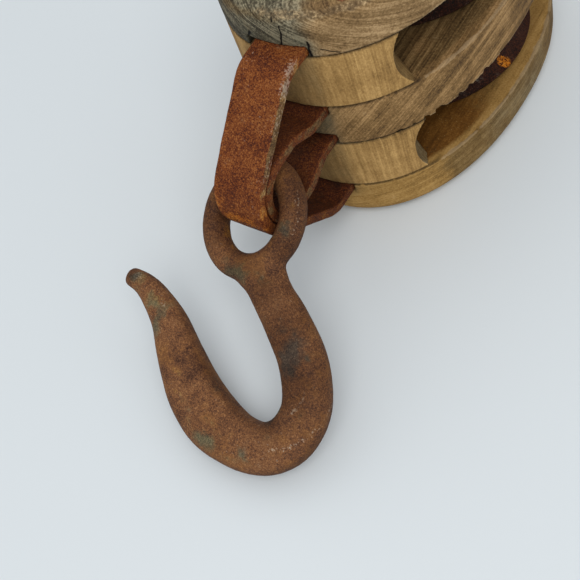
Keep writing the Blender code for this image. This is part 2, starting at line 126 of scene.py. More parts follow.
# Rivets, burrs, plates and screws
RIVET_X, RIVET_HEAD_Y, RIVET_TAIL_Y = 27 * MM, -78 * MM, 62 * MM
RIVET_RADIUS, RIVET_HEAD_RADIUS, RIVET_HEAD = 3 * MM, 4.6 * MM, 1.6 * MM
BURR_RADIUS, BURR_THICK, COUNTERBORE = 6.2 * MM, 1.2 * MM, 3.4 * MM
PLATE_LENGTH, PLATE_WIDTH, PLATE_THICK = 46 * MM, 27 * MM, 2.4 * MM
SCREW_Y, SCREW_RADIUS, SCREW_HEAD_RADIUS = 16.5 * MM, 1.8 * MM, 3.6 * MM
SCREW_HEAD, SCREW_LENGTH, SCREW_POINT = 2 * MM, 14 * MM, 3.6 * MM
OVERCUT = 3 * MM

FINE = 1.0
WOOD_VOXEL, HOOK_VOXEL, PLATE_VOXEL = 0.7 * MM, 0.7 * MM, 0.35 * MM


# ---- noise ----

def noise(points, size, seed=0):
    """Smooth random values between -1 and 1 whose features are about as large as size."""
    place = points / np.asarray(size) + 31.7 * (seed + 1)
    low = np.floor(place).astype(np.int64)
    share = place - low
    share = share * share * (3 - 2 * share)

    def corner(step):
        cell = low + np.array(step)
        value = cell[:, 0] * 73856093 ^ cell[:, 1] * 19349663 ^ cell[:, 2] * 83492791
        value = (value ^ (value >> 13)) * 1274126177 & 0x7FFFFFFF
        value = (value ^ (value >> 15)) * 73244475 & 0x7FFFFFFF
        return (value ^ (value >> 14)) % 65536 / 32767.5 - 1

    total = 0
    for i in (0, 1):
        for j in (0, 1):
            for k in (0, 1):
                weight = 1
                for axis, step in enumerate((i, j, k)):
                    weight = weight * (share[:, axis] if step else 1 - share[:, axis])
                total = total + weight * corner((i, j, k))
    return total


def layered(points, size, seed=0, octaves=3):
    """Noise with finer and weaker noise laid over it."""
    total = 0
    for octave in range(octaves):
        total = total + noise(points, np.asarray(size) / 2 ** octave, seed + octave) / 2 ** octave
    return total / (2 - 2 ** (1 - octaves))


def near(points, centre, reach):
    """1 at a place, falling smoothly to 0 around it. reach is one length or one for each axis."""
    away = (points - np.array(centre)) / np.asarray(reach)
    return np.exp(-np.square(away).sum(1))


def ramp(value, low, high):
    return np.clip((value - low) / (high - low), 0, 1)


# ---- mesh making ----

def add_object(name, data):
    item = bpy.data.objects.new(name, data)
    bpy.context.scene.collection.objects.link(item)
    return item


def loft(name, rings):
    """Skins a row of equal rings of points and caps both ends."""
    mesh = bpy.data.meshes.new(name)
    work = bmesh.new()
    rows = [[work.verts.new(point) for point in ring] for ring in rings]
    count = len(rows[0])
    for low, high in zip(rows, rows[1:]):
        for i in range(count):
            j = (i + 1) % count
            work.faces.new((low[i], low[j], high[j], high[i]))
    work.faces.new(list(reversed(rows[0])))
    work.faces.new(rows[-1])
    bmesh.ops.recalc_face_normals(work, faces=work.faces)
    work.to_mesh(mesh)
    work.free()
    return add_object(name, mesh)


def prism(name, outline, low, high):
    return loft(name, [[(x, y, z) for x, y in outline] for z in (low, high)])


def arc(centre, radius, start, end, steps):
    angles = [start + (end - start) * i / steps for i in range(steps + 1)]
    return [(centre[0] + radius * math.cos(a), centre[1] + radius * math.sin(a)) for a in angles]


def circle(radius, place=(0, 0), steps=48):
    return arc(place, radius, 0, 2 * math.pi * (1 - 1 / steps), steps - 1)


def block(name, low, high):
    outline = ((low[0], low[1]), (high[0], low[1]), (high[0], high[1]), (low[0], high[1]))
    return prism(name, outline, low[2], high[2])


def cut(item, tool, operation="DIFFERENCE"):
    change = item.modifiers.new(tool.name, "BOOLEAN")
    change.operation = operation
    change.object = tool
    tool["is_tool"] = True


def settle(item, voxel=None, smooth=0):
    """Applies an object's modifiers, after an even remesh and some smoothing if asked for."""
    if voxel:
        remesh = item.modifiers.new("remesh", "REMESH")
        remesh.mode = "VOXEL"
        remesh.voxel_size = voxel * FINE
    if smooth:
        soften = item.modifiers.new("soften", "SMOOTH")
        soften.factor = 0.5
        soften.iterations = smooth
    shape = item.evaluated_get(bpy.context.evaluated_depsgraph_get())
    mesh = bpy.data.meshes.new_from_object(shape)
    mesh.transform(item.matrix_world)
    item.modifiers.clear()
    item.matrix_world = Matrix.Identity(4)
    item.data = mesh
    mesh.shade_smooth()
    return item


def vectors_of(item, field):
    vectors = np.empty(len(item.data.vertices) * 3)
    item.data.vertices.foreach_get(field, vectors)
    return vectors.reshape(-1, 3)


def points_of(item):
    return vectors_of(item, "co")


def normals_of(item):
    return vectors_of(item, "normal")


def place(item, points):
    item.data.vertices.foreach_set("co", points.ravel())
    item.data.update()


def swell(item, lift):
    """Moves each vertex out along its normal by its own number of millimetres."""
    place(item, points_of(item) + normals_of(item) * (lift * MM)[:, None])


def mark(item, name, values):
    """Keeps a value for each vertex, or one for all, for the material to read."""
    layer = item.data.attributes.get(name) or item.data.attributes.new(name, "FLOAT", "POINT")
    kept = np.empty(len(item.data.vertices), np.float32)
    kept[:] = np.clip(values, 0, 1)
    layer.data.foreach_set("value", kept)


def relax(item, weights, rounds):
    """Smooths the vertices by their weights, several rounds over."""
    mesh = item.data
    edges = np.empty(len(mesh.edges) * 2, np.int64)
    mesh.edges.foreach_get("vertices", edges)
    edges = edges.reshape(-1, 2)
    points = points_of(item)
    count = np.bincount(edges.ravel(), minlength=len(points))[:, None]
    for _ in range(rounds):
        total = np.zeros_like(points)
        for axis in range(3):
            total[:, axis] = (np.bincount(edges[:, 0], points[edges[:, 1], axis], len(points))
                              + np.bincount(edges[:, 1], points[edges[:, 0], axis], len(points)))
        points = points + weights[:, None] * 0.5 * (total / count - points)
    place(item, points)


# ---- shell ----

def oval(angle, power):
    """A point of a round at a power of 2, and of a squarer outline at more."""
    return [math.copysign(abs(way) ** (2 / power), way)
            for way in (math.cos(angle), math.sin(angle))]


def shell_outline(inset=0.0):
    half_width = SHELL_WIDTH / 2 - inset
    half_length = SHELL_LENGTH / 2 - inset
    points = []
    for i in range(OUTLINE_STEPS):
        across, along = oval(2 * math.pi * i / OUTLINE_STEPS, OUTLINE_POWER)
        points.append((half_width * across, SHELL_Y + half_length * along))
    return points


def shell_end(x, end):
    share = (1 - abs(2 * x / SHELL_WIDTH) ** OUTLINE_POWER) ** (1 / OUTLINE_POWER)
    return SHELL_Y + end * SHELL_LENGTH / 2 * share


def inside_shell(points):
    """How far inside the shell's outline each point is."""
    x = np.abs(points[:, 0]) / (SHELL_WIDTH / 2)
    y = np.abs(points[:, 1] - SHELL_Y) / (SHELL_LENGTH / 2)
    size = (x ** OUTLINE_POWER + y ** OUTLINE_POWER) ** (1 / OUTLINE_POWER)
    reach = np.hypot(points[:, 0], points[:, 1] - SHELL_Y)
    return (1 / np.maximum(size, 1e-6) - 1) * reach


def blend_stations(stations, steps):
    """Catmull-Rom points between given stations."""
    rows = [np.array(row, float) for row in stations]
    rows = [2 * rows[0] - rows[1]] + rows + [2 * rows[-1] - rows[-2]]
    result = []
    for a, b, c, d in zip(rows, rows[1:], rows[2:], rows[3:]):
        for i in range(steps):
            t = i / steps
            result.append(0.5 * (2 * b + (c - a) * t + (2 * a - 5 * b + 4 * c - d) * t * t
                                 + (3 * b - 3 * c + d - a) * t ** 3))
    return result + [rows[-2]]


def cheek(name, inner, outward):
    rings = []
    for inset, rise in blend_stations(CROWN_PROFILE, 2):
        outline = shell_outline(max(inset, 0) * MM)
        rings.append([(x, y, inner + outward * rise * MM) for x, y in outline])
    return loft(name, rings)


def flank(end_name, side):
    """The outer and the inner corner of one flank of a spacer."""
    half_width, radius, horn_x = SPACER_SIZES[end_name][:3]
    end = ENDS[end_name]
    corner = Vector((side * half_width, shell_end(half_width, end), 0))
    horn = Vector((side * horn_x, end * math.sqrt(radius ** 2 - horn_x ** 2), 0))
    return corner, horn


def spacer_outline(end_name):
    half_width, radius, horn_x = SPACER_SIZES[end_name][:3]
    end = ENDS[end_name]
    edge = []
    for i in range(49):
        x = half_width * (i / 24 - 1)
        edge.append((x, shell_end(x, end)))
    spread = end * math.asin(horn_x / radius)
    middle = end * math.pi / 2
    return edge + arc((0, 0), radius, middle - spread, middle + spread, 40)


def throat_cutter(name, end_name, side, level):
    radius, offset = SPACER_SIZES[end_name][3:]
    corner, horn = flank(end_name, side)
    along = (horn - corner).normalized()
    outward = Vector((along.y, -along.x, 0)) * -ENDS[end_name] * side
    turn = THROAT_TURN[end_name]
    run = math.cos(turn) * along + math.sin(turn) * outward
    # Millimetres along the throat and how much wider it is there
    flare = ((-60, 8), (-17, 1.2), (-14, 0.4), (-11, 0), (60, 0))
    rings = [[(x, y, z * MM) for x, y in circle(radius + wider * MM, steps=96)]
             for z, wider in flare]
    tool = loft(name, rings)
    tool.rotation_euler = run.to_track_quat("Z", "Y").to_euler()
    tool.location = corner + outward * offset + run * (horn - corner).length / 2
    tool.location.z = level
    return tool


pin_bore = prism("pin_bore", circle(PIN_RADIUS + GAP), -CHEEK, HEIGHT + CHEEK)
rivet_places = [(x, y) for y in (RIVET_HEAD_Y, RIVET_TAIL_Y) for x in (-RIVET_X, RIVET_X)]
slot_depth = STRAP_THICK + 1.5 * GAP


def sunk(face, inward, depth):
    """The levels of a tool that cuts this deep into a face."""
    return sorted((face - inward * OVERCUT, face + inward * depth))


def slot_tool(name, face, inward):
    low, high = sunk(face, inward, slot_depth)
    left, right = SLOT_X - SLOT_WIDTH / 2, SLOT_X + SLOT_WIDTH / 2
    return block(name, (left, -SHELL_LENGTH, low), (right, STRAP_TAIL_Y + GAP, high))


def plate_outline(extra):
    radius = PLATE_WIDTH / 2 + extra
    reach = (PLATE_LENGTH - PLATE_WIDTH) / 2
    return (arc((0, reach), radius, 0, math.pi, 32)
            + arc((0, -reach), radius, math.pi, 2 * math.pi, 32))


woods = {
    "bottom_cheek": cheek("bottom_cheek_wood", BOTTOM_TOP, -1),
    "top_cheek": cheek("top_cheek_wood", UPPER_TOP, 1),
    "centre_partition": prism("centre_partition_wood", shell_outline(), LOWER_TOP + GAP / 2,
                              MIDDLE_TOP - GAP / 2),
}
for number, (node, face, inward) in enumerate((
        ("bottom_cheek", BOTTOM_TOP, -1), ("centre_partition", LOWER_TOP, 1),
        ("centre_partition", MIDDLE_TOP, -1), ("top_cheek", UPPER_TOP, 1)), 1):
    cut(woods[node], slot_tool(f"slot_{number}", face, inward))
for face_name, face, inward in FACES:
    node = f"{face_name}_cheek"
    levels = sunk(face, inward, PLATE_THICK + GAP)
    cut(woods[node], prism(f"{node}_recess", plate_outline(GAP), *levels))
    for number, at in enumerate(rivet_places):
        levels = sunk(face, inward, COUNTERBORE)
        cut(woods[node], prism(f"{node}_sink_{number}", circle(BURR_RADIUS + GAP, at), *levels))
for level_name, low, high in SWALLOWS:
    for end_name in ENDS:
        node = f"{end_name}_spacer_{level_name}"
        woods[node] = prism(node + "_wood", spacer_outline(end_name), low + GAP / 2, high - GAP / 2)
        for side in (-1, 1):
            level = (low + high) / 2 + THROAT_RISE[level_name]
            cut(woods[node], throat_cutter(f"throat_{node}_{side}", end_name, side, level))
for node, item in woods.items():
    if "spacer" not in node:
        cut(item, pin_bore)
    settle(item, WOOD_VOXEL, 1)

# Raised grain at the rims, and the chips split off the partition's lower edge
for node in ("bottom_cheek", "top_cheek", "centre_partition"):
    item = woods[node]
    points = points_of(item)
    x, y, z = (points / MM).T
    depth = inside_shell(points) / MM
    lift = 0.12 * layered(points, np.array((6, 30, 6)) * MM, 3) * ramp(depth, 3, 0.3)
    if node == "centre_partition":
        chip = ramp(noise(points, np.array((2.8, 2.8, 12)) * MM, 11), 0.0, 0.4)
        arris = ramp(z - z.min(), 3.4, 0.4) * ramp(depth, 3, 0) * ramp(x, 36, 42)
        lift -= 1.4 * chip * arris * ramp(y, -20, -45)
    swell(item, lift)

# ---- straps ----

def resample(path, step):
    """Points spaced evenly along a path."""
    path = np.array(path)
    lengths = np.concatenate(([0], np.cumsum(np.linalg.norm(np.diff(path, axis=0), axis=1))))
    places = np.linspace(0, lengths[-1], int(lengths[-1] / step) + 1)
    return np.stack([np.interp(places, lengths, path[:, axis]) for axis in (0, 1)], 1)


def strap(name, half_path):
    """A flat bar bent along half a path of Y and height, and along its mirror image."""
    path = half_path + [(y, -h) for y, h in reversed(half_path[:-1])]
    path = resample(path, 0.9 * MM * FINE)
    half_w, half_t = STRAP_WIDTH / 2, STRAP_THICK / 2
    section = []
    for sign_x, sign_t, start in ((1, 1, 0), (-1, 1, 0.5), (-1, -1, 1), (1, -1, 1.5)):
        centre = (sign_x * (half_w - STRAP_ROUND), sign_t * (half_t - STRAP_ROUND))
        section += arc(centre, STRAP_ROUND, start * math.pi, (start + 0.5) * math.pi, 6)
        if start in (0, 1):
            other = -centre[0]
            section += [(centre[0] + (other - centre[0]) * i / 20, sign_t * half_t)
                        for i in range(1, 20)]
    rings = []
    for i in range(len(path)):
        tangent = path[min(i + 1, len(path) - 1)] - path[max(i - 1, 0)]
        tangent /= np.linalg.norm(tangent)
        normal = (-tangent[1], tangent[0])
        rings.append([(STRAP_X + across, path[i][0] + normal[0] * out,
                       MIDDLE + path[i][1] + normal[1] * out) for across, out in section])
    item = loft(name, rings)
    cut(item, pin_bore)
    return settle(item)


def outer_path():
    leg = SWALLOW + PARTITION / 2 + (GAP + STRAP_THICK) / 2
    crown = LOOP_RADIUS + STRAP_THICK * 1.5 + GAP
    turn = math.pi / 2 - LEG_SLOPE
    tangent_point = Vector((LOOP_Y - crown * math.cos(turn), crown * math.sin(turn)))
    knee = tangent_point.x + (leg - tangent_point.y) / math.tan(LEG_SLOPE)
    reach = LEG_BEND_RADIUS * math.tan(LEG_SLOPE / 2)
    bend = arc((knee + reach, leg - LEG_BEND_RADIUS), LEG_BEND_RADIUS, math.pi / 2,
               math.pi / 2 + LEG_SLOPE, 20)
    top = arc((LOOP_Y, 0), crown, math.pi - turn, math.pi, 24)
    return [(STRAP_TAIL_Y, leg)] + bend + top


def inner_path():
    leg = PARTITION / 2 - (GAP + STRAP_THICK) / 2
    crown = LOOP_RADIUS + STRAP_THICK / 2
    radius = BULGE_BEND_RADIUS
    straight = (crown - leg - 2 * radius * (1 - math.cos(BULGE_SLOPE))) / math.sin(BULGE_SLOPE)
    bulge_end = LOOP_Y + BULGE_LENGTH
    foot = bulge_end + 2 * radius * math.sin(BULGE_SLOPE) + straight * math.cos(BULGE_SLOPE)
    rise = arc((foot, leg + radius), radius, -math.pi / 2, -math.pi / 2 - BULGE_SLOPE, 12)
    ease = arc((bulge_end, crown - radius), radius, math.pi / 2 - BULGE_SLOPE, math.pi / 2, 12)
    top = arc((LOOP_Y, 0), crown, math.pi / 2, math.pi, 30)
    return [(STRAP_TAIL_Y, leg)] + rise + ease + top


straps = {"outer_strap": strap("outer_strap_iron", outer_path()),
          "inner_strap": strap("inner_strap_iron", inner_path())}
for number, (node, item) in enumerate(straps.items()):
    points = points_of(item)
    inset = (STRAP_WIDTH / 2 - np.abs(points[:, 0] - STRAP_X)) / MM
    edge = ramp(inset, 2.6, 0.6)
    lift = 0.16 * layered(points, 14 * MM, number) + 0.07 * layered(points, 2.6 * MM, 5 + number)
    swell(item, lift + 0.12 * edge * layered(points, np.array((9, 4, 4)) * MM, 9))

# ---- sheaves ----

def turned(name, profile, centre=(0, 0), height=0.0, steps=180):
    """Turns a closed profile of radius and level about an upright line."""
    rings = []
    for i in range(steps):
        angle = 2 * math.pi * i / steps
        rings += [(centre[0] + r * math.cos(angle), centre[1] + r * math.sin(angle), height + z)
                  for r, z in profile]
    count = len(profile)
    faces = []
    for i in range(steps):
        for j in range(count):
            after = (i + 1) % steps * count
            k = (j + 1) % count
            faces.append((i * count + j, i * count + k, after + k, after + j))
    mesh = bpy.data.meshes.new(name)
    mesh.from_pydata(rings, [], faces)
    work = bmesh.new()
    work.from_mesh(mesh)
    bmesh.ops.remove_doubles(work, verts=work.verts, dist=0.005 * MM)
    bmesh.ops.recalc_face_normals(work, faces=work.faces)
    work.to_mesh(mesh)
    work.free()
    item = add_object(name, mesh)
    mesh.shade_smooth()
    mesh.set_sharp_from_angle(angle=math.radians(50))
    return item


def sheave(name, height):
    half, lip = SHEAVE_THICK / 2, SHEAVE_RADIUS
    radius = (GROOVE_HALF ** 2 + GROOVE_DEPTH ** 2) / (2 * GROOVE_DEPTH)
    spread = math.asin(GROOVE_HALF / radius)
    groove = arc((lip - GROOVE_DEPTH + radius, 0), radius, math.pi - spread, math.pi + spread, 24)
    web = half - WEB_DEPTH
    corner = arc((lip - 1 * MM, -half + 1 * MM), 1 * MM, 0, -math.pi / 2, 4)
    side = [(RIM_RADIUS + 1 * MM, -half), (RIM_RADIUS, -half + 0.4 * MM),
            (RIM_RADIUS - WEB_TAPER, -web - 0.4 * MM), (RIM_RADIUS - WEB_TAPER - 1 * MM, -web),
            (HUB_RADIUS + WEB_TAPER + 1 * MM, -web), (HUB_RADIUS + WEB_TAPER, -web - 0.4 * MM),
            (HUB_RADIUS, -half + 0.4 * MM), (HUB_RADIUS - 1 * MM, -half),
            (BUSH_RADIUS + GAP, -half)]
    lower = corner + side
    profile = [(r, -z) for r, z in reversed(lower)] + groove + lower
    item = turned(name, profile, height=height)
    points = points_of(item)
    outer = ramp(np.hypot(points[:, 0], points[:, 1]), 40 * MM, 44 * MM)
    swell(item, (0.12 * layered(points, 7 * MM, 21) - 0.1) * outer)
    return item


sheaves = {f"sheave_{name}": sheave(f"sheave_{name}_iron", (low + high) / 2)
           for name, low, high in SWALLOWS}

# ---- plates, screws and rivets ----

fittings = {}
for face_name, face, inward in FACES:
    rings = []
    for inset, rise in ((1.2, 0.05), (0.5, 0.15), (0.15, 0.5), (0, 0.9), (0, 2.3)):
        rings.append([(x, y, face + inward * rise * MM) for x, y in plate_outline(-inset * MM)])
    plate = loft(f"pin_plate_{face_name}_iron", rings)
    fittings[f"pin_plate_{face_name}"] = plate
    for end_name, end in ENDS.items():
        y = end * SCREW_Y
        tag = f"{face_name}_{end_name}"
        wide, thin = SCREW_HEAD_RADIUS, SCREW_RADIUS
        shape = [(0, 0.12 * MM), (wide - 0.3 * MM, 0.12 * MM), (wide, 0.35 * MM),
                 (thin, SCREW_HEAD), (thin, SCREW_LENGTH - SCREW_POINT), (0, SCREW_LENGTH)]
        shape = [(r, inward * z) for r, z in shape]
        screw = turned(f"plate_screw_{tag}_iron", shape, (0, y), face, 40)
        kerf = block(f"kerf_{tag}", (-5 * MM, -0.45 * MM, -1 * MM), (5 * MM, 0.45 * MM, 1 * MM))
        kerf.location = (0, y, face)
        kerf.rotation_euler.z = math.radians(35 if end_name == "head" else -20)
        cut(screw, kerf)
        fittings[f"plate_screw_{tag}"] = settle(screw)
        sink = [(0, -1 * MM), (wide + 1.3 * MM, -1 * MM), (thin + GAP, SCREW_HEAD),
                (thin + GAP, 5 * MM), (0, 5 * MM)]
        sink = [(r, inward * z) for r, z in sink]
        cut(plate, turned(f"sink_{tag}", sink, (0, y), face, 40))
    settle(plate, PLATE_VOXEL, 1)
    swell(plate, 0.1 * layered(points_of(plate), 8 * MM, 41) - 0.1)

seat = COUNTERBORE - GAP
for number, (x, y) in enumerate(rivet_places):
    where = ("head" if y < 0 else "tail") + ("_left" if x < 0 else "_right")
    inner = MIDDLE - seat + BURR_THICK + GAP
    dome = [(RIVET_HEAD_RADIUS * math.sin(a),
             inner + 0.15 * MM + (RIVET_HEAD - 0.15 * MM) * math.cos(a))
            for a in (math.pi / 2 * i / 8 for i in range(9))]
    half = dome + [(RIVET_HEAD_RADIUS - 0.1 * MM, inner), (RIVET_RADIUS, inner)]
    whole = half + [(r, -z) for r, z in reversed(half)]
    rivet = turned(f"rivet_{where}_copper", whole, (x, y), MIDDLE, 48)
    points = points_of(rivet)
    ends = ramp(np.abs(points[:, 2] - MIDDLE), inner + 0.1 * MM, inner + 0.7 * MM)
    swell(rivet, (0.22 * layered(points, 2.6 * MM, 50 + number) - 0.12) * ends)
    fittings[f"rivet_{where}"] = rivet
    for face_name, face, inward in FACES:
        shape = [(RIVET_RADIUS + GAP, 0.1), (RIVET_RADIUS + 1 * MM, 0),
                 (BURR_RADIUS - 0.4 * MM, 0.25), (BURR_RADIUS, 0.6), (BURR_RADIUS, 1),
                 (RIVET_RADIUS + GAP, 1)]
        shape = [(r, inward * (seat - BURR_THICK * (1 - share))) for r, share in shape]
        node = f"burr_{face_name}_{where}"
        fittings[node] = turned(node + "_copper", shape, (x, y), face, 48)

# ---- hook ----

def hook_body():
    rows = blend_stations(HOOK_LINE, 6)
    rings = []
    sides = 56
    for i, row in enumerate(rows):
        tangent = rows[min(i + 1, len(rows) - 1)][:2] - rows[max(i - 1, 0)][:2]
        tangent /= np.linalg.norm(tangent)
        across = (-tangent[1], tangent[0])
        ring = []
        for side in range(sides):
            w, d = oval(2 * math.pi * side / sides, row[4]) * row[2:4] / 2
            ring.append(((row[0] + across[0] * w) * MM, -(row[1] + across[1] * w) * MM, d * MM))
        rings.append(ring)
    tip = np.array(rings[-1])
    middle = tip.mean(0)
    forward = middle - np.array(rings[-2]).mean(0)
    forward /= np.linalg.norm(forward)
    for reach, share in ((0.7, 0.95), (1.3, 0.84), (1.7, 0.66)):
        rings.append([tuple(p) for p in middle + forward * reach * MM + (tip - middle) * share])
    return loft("hook_iron_piece", rings)


hook = hook_body()
bpy.ops.mesh.primitive_torus_add(major_segments=96, minor_segments=40,
                                 major_radius=EYE_HALF_WIDTH, minor_radius=EYE_BAR_RADIUS)
torus = bpy.context.object
torus.data.transform(Matrix.Translation((0, -EYE_CENTRE, 0))
                     @ Matrix.Diagonal((1, EYE_STRETCH, EYE_DEEPEN, 1)))
cut(hook, torus, "UNION")
settle(hook, HOOK_VOXEL, 2)
flat = points_of(hook)
neck = near(flat, (10 * MM, -38 * MM, 0), np.array((14, 11, 30)) * MM)
relax(hook, np.clip(neck * 1.6, 0, 1), 40)
flat = points_of(hook)
swell(hook, 0.22 * layered(flat, 16 * MM, 31) + 0.08 * layered(flat, 3 * MM, 35))
# The stains, wear and painted shade are placed on the hook as it lies flat, before it is turned to its
# rest
hook_flat = points_of(hook)
hook.data.transform(Matrix.Translation((HOOK_X, LOOP_Y, MIDDLE))
                    @ Matrix.Rotation(HOOK_REST_ANGLE, 4, "X"))

for item in [o for o in bpy.data.objects if o.get("is_tool")]:
    bpy.data.objects.remove(item)

# ---- materials ----

def srgb(red, green, blue):
    """A colour given in the usual 0 to 255 display values."""
    shares = [c / 255 for c in (red, green, blue)]
    return (*(c / 12.92 if c <= 0.0404 else ((c + 0.055) / 1.055) ** 2.4 for c in shares), 1)


class Look:
    """A material and short ways to wire its nodes. Colours are in display values."""

    def __init__(self, name):
        self.material = bpy.data.materials.new(name)
        self.material.use_nodes = True
        self.nodes = self.material.node_tree.nodes
        self.links = self.material.node_tree.links
        self.shader = self.nodes["Principled BSDF"]
        self.place = self.node("ShaderNodeTexCoord").outputs["Object"]
        self.axes = None

    def node(self, kind, **settings):
        made = self.nodes.new(kind)
        for key, value in settings.items():
            setattr(made, key, value)
        return made

    def wire(self, source, target):
        if isinstance(source, bpy.types.NodeSocket):
            self.links.new(source, target)
        else:
            target.default_value = srgb(*source) if target.type == "RGBA" else source

    def math(self, operation, a, b=0.0, clamp=False):
        made = self.node("ShaderNodeMath", operation=operation, use_clamp=clamp)
        self.wire(a, made.inputs[0])
        self.wire(b, made.inputs[1])
        return made.outputs[0]

    def add(self, a, b):
        return self.math("ADD", a, b)

    def times(self, a, b):
        return self.math("MULTIPLY", a, b)

    def swing(self, value, amount):
        """Noise brought to vary about 0."""
        return self.times(self.math("SUBTRACT", value, 0.5), amount)

    def swings(self, *parts, base=0.0):
        """Several noises brought to vary about one base, each by its amount."""
        for value, amount in parts:
            base = self.add(base, self.swing(value, amount))
        return base

    def mapped(self, turn=(0, 0, 0), scale=(1, 1, 1), source=None):
        made = self.node("ShaderNodeMapping")
        self.wire(source or self.place, made.inputs["Vector"])
        made.inputs["Rotation"].default_value = turn
        made.inputs["Scale"].default_value = scale
        return made.outputs[0]

    def noise(self, per_metre, detail=4.0, rough=0.55, source=None, output="Fac"):
        made = self.node("ShaderNodeTexNoise")
        self.wire(source or self.place, made.inputs["Vector"])
        made.inputs["Scale"].default_value = per_metre
        made.inputs["Detail"].default_value = detail
        made.inputs["Roughness"].default_value = rough
        return made.outputs[output]

    def warped(self, scale, reach):
        """The place pushed about by noise."""
        made = self.node("ShaderNodeVectorMath", operation="MULTIPLY_ADD")
        self.wire(self.noise(1, 2, 0.5, self.mapped(scale=scale), "Color"), made.inputs[0])
        made.inputs[1].default_value = reach
        self.wire(self.place, made.inputs[2])
        return made.outputs[0]

    def cells(self, per_metre, source=None):
        made = self.node("ShaderNodeTexVoronoi")
        self.wire(source or self.place, made.inputs["Vector"])
        made.inputs["Scale"].default_value = per_metre
        return made.outputs["Distance"]

    def mask(self, value, low, high):
        """0 at low and 1 at high, smooth between."""
        made = self.node("ShaderNodeMapRange", interpolation_type="SMOOTHSTEP")
        self.wire(value, made.inputs["Value"])
        made.inputs["From Min"].default_value = low
        made.inputs["From Max"].default_value = high
        return made.outputs[0]

    def mix(self, share, a, b, mode="MIX"):
        made = self.node("ShaderNodeMix", data_type="RGBA", blend_type=mode)
        self.wire(share, made.inputs[0])
        self.wire(a, made.inputs[6])
        self.wire(b, made.inputs[7])
        return made.outputs[2]

    def lay(self, colour, share, amount, over):
        """A colour with another laid over it, by at most the amount."""
        return self.mix(self.times(share, amount), colour, over)

    def shades(self, value, *stops):
        made = self.node("ShaderNodeValToRGB")
        self.wire(value, made.inputs[0])
        scale = made.color_ramp
        while len(scale.elements) < len(stops):
            scale.elements.new(0.5)
        for element, (at, colour) in zip(scale.elements, stops):
            element.position = at
            element.color = srgb(*colour)
        return made.outputs[0]

    def kept(self, name):
        return self.node("ShaderNodeAttribute", attribute_name=name).outputs["Fac"]

    def patch(self, name, breakup, amount, low=0.35, high=0.65):
        """A kept value broken up by noise into a patch with a ragged edge."""
        return self.mask(self.add(self.kept(name), self.swing(breakup, amount)), low, high)

    def bump(self, height, distance, strength=1.0, after=None):
        made = self.node("ShaderNodeBump")
        made.inputs["Distance"].default_value = distance
        made.inputs["Strength"].default_value = strength
        self.wire(height, made.inputs["Height"])
        if after:
            self.wire(after, made.inputs["Normal"])
        return made.outputs[0]

    def split(self, start, end, width):
        """A thin crack along the grain: how near each point is to a line drawn across X and Z."""
        if self.axes is None:
            parts = self.node("ShaderNodeSeparateXYZ")
            self.wire(self.warped((260, 30, 260), (2.4 * MM, 0, 1.2 * MM)), parts.inputs[0])
            self.axes = (parts.outputs["X"], parts.outputs["Z"])
        run = ((end[0] - start[0]) * MM, (end[1] - start[1]) * MM)
        across = self.math("SUBTRACT", self.axes[0], start[0] * MM + 1.2 * MM)
        along = self.math("SUBTRACT", self.axes[1], start[1] * MM + 0.6 * MM)
        span = run[0] ** 2 + run[1] ** 2
        share = self.add(self.times(across, run[0] / span), self.times(along, run[1] / span))
        share = self.math("ADD", share, 0.0, True)
        off = self.math("SUBTRACT", across, self.times(share, run[0]))
        rise = self.math("SUBTRACT", along, self.times(share, run[1]))
        away = self.math("SQRT", self.add(self.times(off, off), self.times(rise, rise)))
        return self.mask(away, width * MM, width * 0.3 * MM)

    def finish(self, colour, rough, normal=None, metallic=0.0, specular=0.4):
        self.wire(colour, self.shader.inputs["Base Color"])
        self.wire(rough, self.shader.inputs["Roughness"])
        self.wire(metallic, self.shader.inputs["Metallic"])
        self.shader.inputs["Specular IOR Level"].default_value = specular
        if normal:
            self.wire(normal, self.shader.inputs["Normal"])
        return self.material


